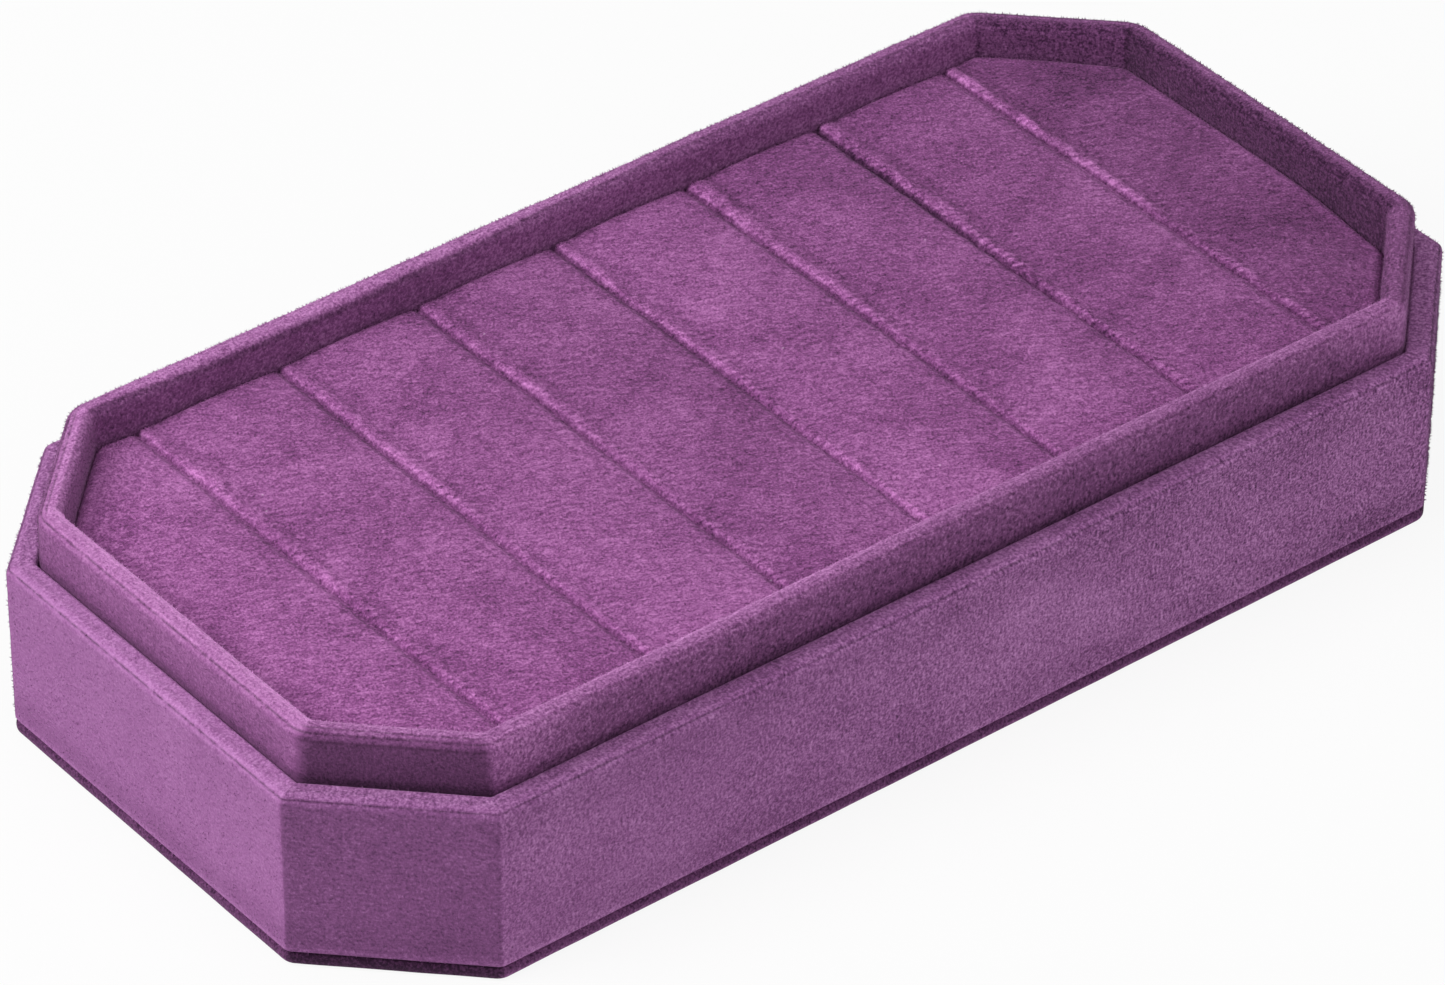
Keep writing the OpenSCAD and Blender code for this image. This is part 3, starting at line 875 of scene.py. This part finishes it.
class TRAY_OT_bars(bpy.types.Operator):
    """Wraps each foam bar in its own velvet, and presses its foam to the same shape"""
    bl_idname = "tray.bars"
    bl_label = "Bar Velvet and Foam"

    def execute(self, context):
        shape, look = context.scene.tray_shape, context.scene.tray_look
        cloth = velvet("cotton_velvet_on_bars", 0.8, 0.75, 1.9, lean=0.5,
                       dye=(1.06, 0.93, 1.04), rib_scale=(1500, 500, 1))
        # Cut polyurethane foam shows open cells of about half a millimetre
        foam = plain("cut_polyurethane_foam", look.foam, 0.6, 2000, (1, 1, 1), 0.95, 0.2 * MM)
        for index in range(1, BARS + 1):
            bar = Bar(index, shape)
            skin = self.skin(bar, f"bar_velvet_{index}", True)
            core = self.skin(bar, f"foam_{index}", False)
            shell = skin.modifiers.new("shell", "SOLIDIFY")
            shell.thickness = shape.cloth - 0.05 * MM
            shell.offset = -1
            bake(skin)
            finish(skin, cloth, "bar_velvet", f"bar_cloth_{index}")
            tufts_on(skin, f"bar_tufts_{index}", 20 + index)
            shrink(core, shape.cloth)
            finish(core, foam, "foam", f"foam_bar_{index}")
        return {"FINISHED"}

    def skin(self, bar, name, open_foot):
        """The top and sides of a bar: with its cloth turned under the foot, or closed there."""
        rows, cols = bar.xs.shape
        numbers = np.arange(rows * cols).reshape(rows, cols)
        points = bar.points.reshape(-1, 3).tolist()
        marks = {key: values.tolist() for key, values in bar.marks.items()}
        across = run_along(bar.points[rows // 2])[:-1]
        along = bar.points[:, cols // 2, 1] - bar.points[0, cols // 2, 1]
        faces, uvs = [], []
        for r in range(rows - 1):
            strip(faces, uvs, numbers[r].tolist(), numbers[r + 1].tolist(), across, along[r],
                  along[r + 1])
        uvs = [(v, u) for u, v in uvs]
        last = np.concatenate([numbers[0], numbers[1:, -1], numbers[-1, -2::-1],
                               numbers[-2:0:-1, 0]]).tolist()
        edge = np.array([points[i] for i in last])
        run, foot = run_along(edge), CARD_HIGH.z + 0.02 * MM
        hem = 1 - 5 * MM / bar.half, 1 - 5 * MM / bar.high.y
        downs = [0.04, 0.12, 0.3, 0.6, 0.9, 1.0] + [None] * open_foot
        for s, down in enumerate(downs):
            this = list(range(len(points), len(points) + len(edge)))
            for x, y, z in edge:
                points.append((bar.middle + (x - bar.middle) * hem[0], y * hem[1], foot)
                              if down is None else (x, y, z + (foot - z) * down))
            # The cloth down the sides and under the foot is painted darker as shade
            for key, value in (("painted_light", -0.6), ("open", 0), ("fuzz", 0)):
                marks[key] += [value] * len(edge)
            strip(faces, uvs, last, this, run, s * 3 * MM, (s + 1) * 3 * MM, (0, 3, 2, 1))
            last = this
        if not open_foot:
            faces.append(tuple(reversed(last)))
            uvs += [(points[i][1], points[i][0]) for i in reversed(last)]
        return make_mesh(name, points, faces, uvs, marks)


def shrink(obj, depth):
    """Moves the surface of a closed mesh inwards."""
    mesh = obj.data
    spots = np.array([v.co for v in mesh.vertices])
    aims = np.array([v.normal for v in mesh.vertices])
    mesh.vertices.foreach_set("co", (spots - aims * depth).astype(np.float32).ravel())
    mesh.update()


class TRAY_OT_inside(bpy.types.Operator):
    """Gives the boards and the card inside the velvet their finishes"""
    bl_idname = "tray.inside"
    bl_label = "Boards and Card"

    def execute(self, context):
        look = context.scene.tray_look
        # Greyboard is pressed waste paper: dull, with flecks and a faint run of the fibres
        board = plain("pressed_greyboard", look.board, 0.72, 900, (1, 1, 0.4), 0.9, 0.05 * MM)
        # White lined card has a tighter, paler face
        card = plain("lined_card", look.card, 0.85, 1600, (0.5, 1, 1), 0.8, 0.03 * MM)
        for name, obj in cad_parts.items():
            material = board if "board" in name else card if "card" in name else None
            if material:
                obj.data.materials.clear()
                obj.data.materials.append(material)
        return {"FINISHED"}


class TRAY_OT_stage(bpy.types.Operator):
    """Sets the pale floor, the soft studio lamps and the camera"""
    bl_idname = "tray.stage"
    bl_label = "Floor, Lamps and Camera"

    FLOOR_HALF = 6.0
    PAPER_WHITE, ROOM_LIGHT = 0.9, 0.36
    # Name, place and size in metres, and power in watts
    LAMPS = (("key_softbox", (-1.0, 0.3, 0.95), 0.8, 13),
             ("fill_softbox", (-0.5, -1.3, 0.9), 1.0, 5),
             ("top_softbox", (0.2, 0.2, 1.7), 1.2, 4))
    # The camera was fitted to the photograph
    CAMERA_PLACE = (-0.555271, -0.697854, 0.675917)
    CAMERA_ANGLES = (53.33654, -0.0073, -38.32103)
    SENSOR, LENS = 36, 202.207

    def execute(self, context):
        scene = context.scene
        scene.view_settings.view_transform = "Standard"
        mesh = bpy.data.meshes.new("floor")
        s = self.FLOOR_HALF
        mesh.from_pydata([(-s, -s, 0), (s, -s, 0), (s, s, 0), (-s, s, 0)], [], [(0, 1, 2, 3)])
        floor = put("floor", mesh)
        # White matt paper that reads as paper white to the camera and keeps the shadow
        material, tree = blank("matt_white_paper")
        paper = node(tree, "ShaderNodeBsdfDiffuse", {"Color": (0.82, 0.82, 0.82, 1)})[0]
        glow = node(tree, "ShaderNodeEmission", {"Color": (1, 1, 1, 1), "Strength": 1})[0]
        ray = node(tree, "ShaderNodeLightPath")["Is Camera Ray"]
        share = node(tree, "ShaderNodeMath", {0: ray, 1: self.PAPER_WHITE},
                     operation="MULTIPLY")[0]
        mix = node(tree, "ShaderNodeMixShader", {0: share, 1: paper, 2: glow})[0]
        node(tree, "ShaderNodeOutputMaterial", {"Surface": mix})
        mesh.materials.append(material)

        scene.world = bpy.data.worlds.new("studio")
        scene.world.use_nodes = True
        tree = scene.world.node_tree
        tree.nodes.clear()
        ray = node(tree, "ShaderNodeLightPath")
        seen = node(tree, "ShaderNodeMath", {0: ray["Is Camera Ray"], 1: ray["Is Glossy Ray"]},
                    operation="MAXIMUM")[0]
        strength = node(tree, "ShaderNodeMapRange", {
            "Value": seen, "To Min": self.ROOM_LIGHT, "To Max": 1.0})[0]
        sky = node(tree, "ShaderNodeBackground", {"Color": (1, 1, 1, 1), "Strength": strength})[0]
        node(tree, "ShaderNodeOutputWorld", {"Surface": sky})

        for name, place, size, power in self.LAMPS:
            lamp = bpy.data.lights.new(name, "AREA")
            lamp.energy, lamp.size = power, size
            obj = put(name, lamp)
            obj.location = place
            obj.rotation_euler = Vector(place).to_track_quat("Z", "Y").to_euler()

        camera = bpy.data.cameras.new("camera")
        camera.sensor_width, camera.lens = self.SENSOR, self.LENS
        camera.clip_start, camera.clip_end = 0.01, 20
        scene.camera = put("camera", camera)
        scene.camera.location = self.CAMERA_PLACE
        scene.camera.rotation_euler = [math.radians(a) for a in self.CAMERA_ANGLES]
        return {"FINISHED"}


class TRAY_PT_panel(bpy.types.Panel):
    """Lists the steps that build the tray"""
    bl_idname = "TRAY_PT_panel"
    bl_label = "Display Tray"
    bl_space_type = "VIEW_3D"
    bl_region_type = "UI"
    bl_category = "Tray"

    def draw(self, context):
        for step in STEPS:
            self.layout.operator(step.bl_idname)
        for group in (context.scene.tray_shape, context.scene.tray_look):
            box = self.layout.box()
            for key in group.bl_rna.properties.keys():
                if key not in ("rna_type", "name"):
                    box.prop(group, key)


STEPS = (TRAY_OT_stage, TRAY_OT_inside, TRAY_OT_base, TRAY_OT_walls, TRAY_OT_collar, TRAY_OT_bars)
CLASSES = (TrayShape, TrayLook, *STEPS, TRAY_PT_panel)


def register():
    for item in CLASSES:
        bpy.utils.register_class(item)
    bpy.types.Scene.tray_shape = PointerProperty(type=TrayShape)
    bpy.types.Scene.tray_look = PointerProperty(type=TrayLook)


def unregister():
    del bpy.types.Scene.tray_look
    del bpy.types.Scene.tray_shape
    for item in reversed(CLASSES):
        bpy.utils.unregister_class(item)


def main():
    register()
    for step in STEPS:
        getattr(bpy.ops.tray, step.bl_idname.split(".")[1])()


if __name__ == "__main__":
    main()
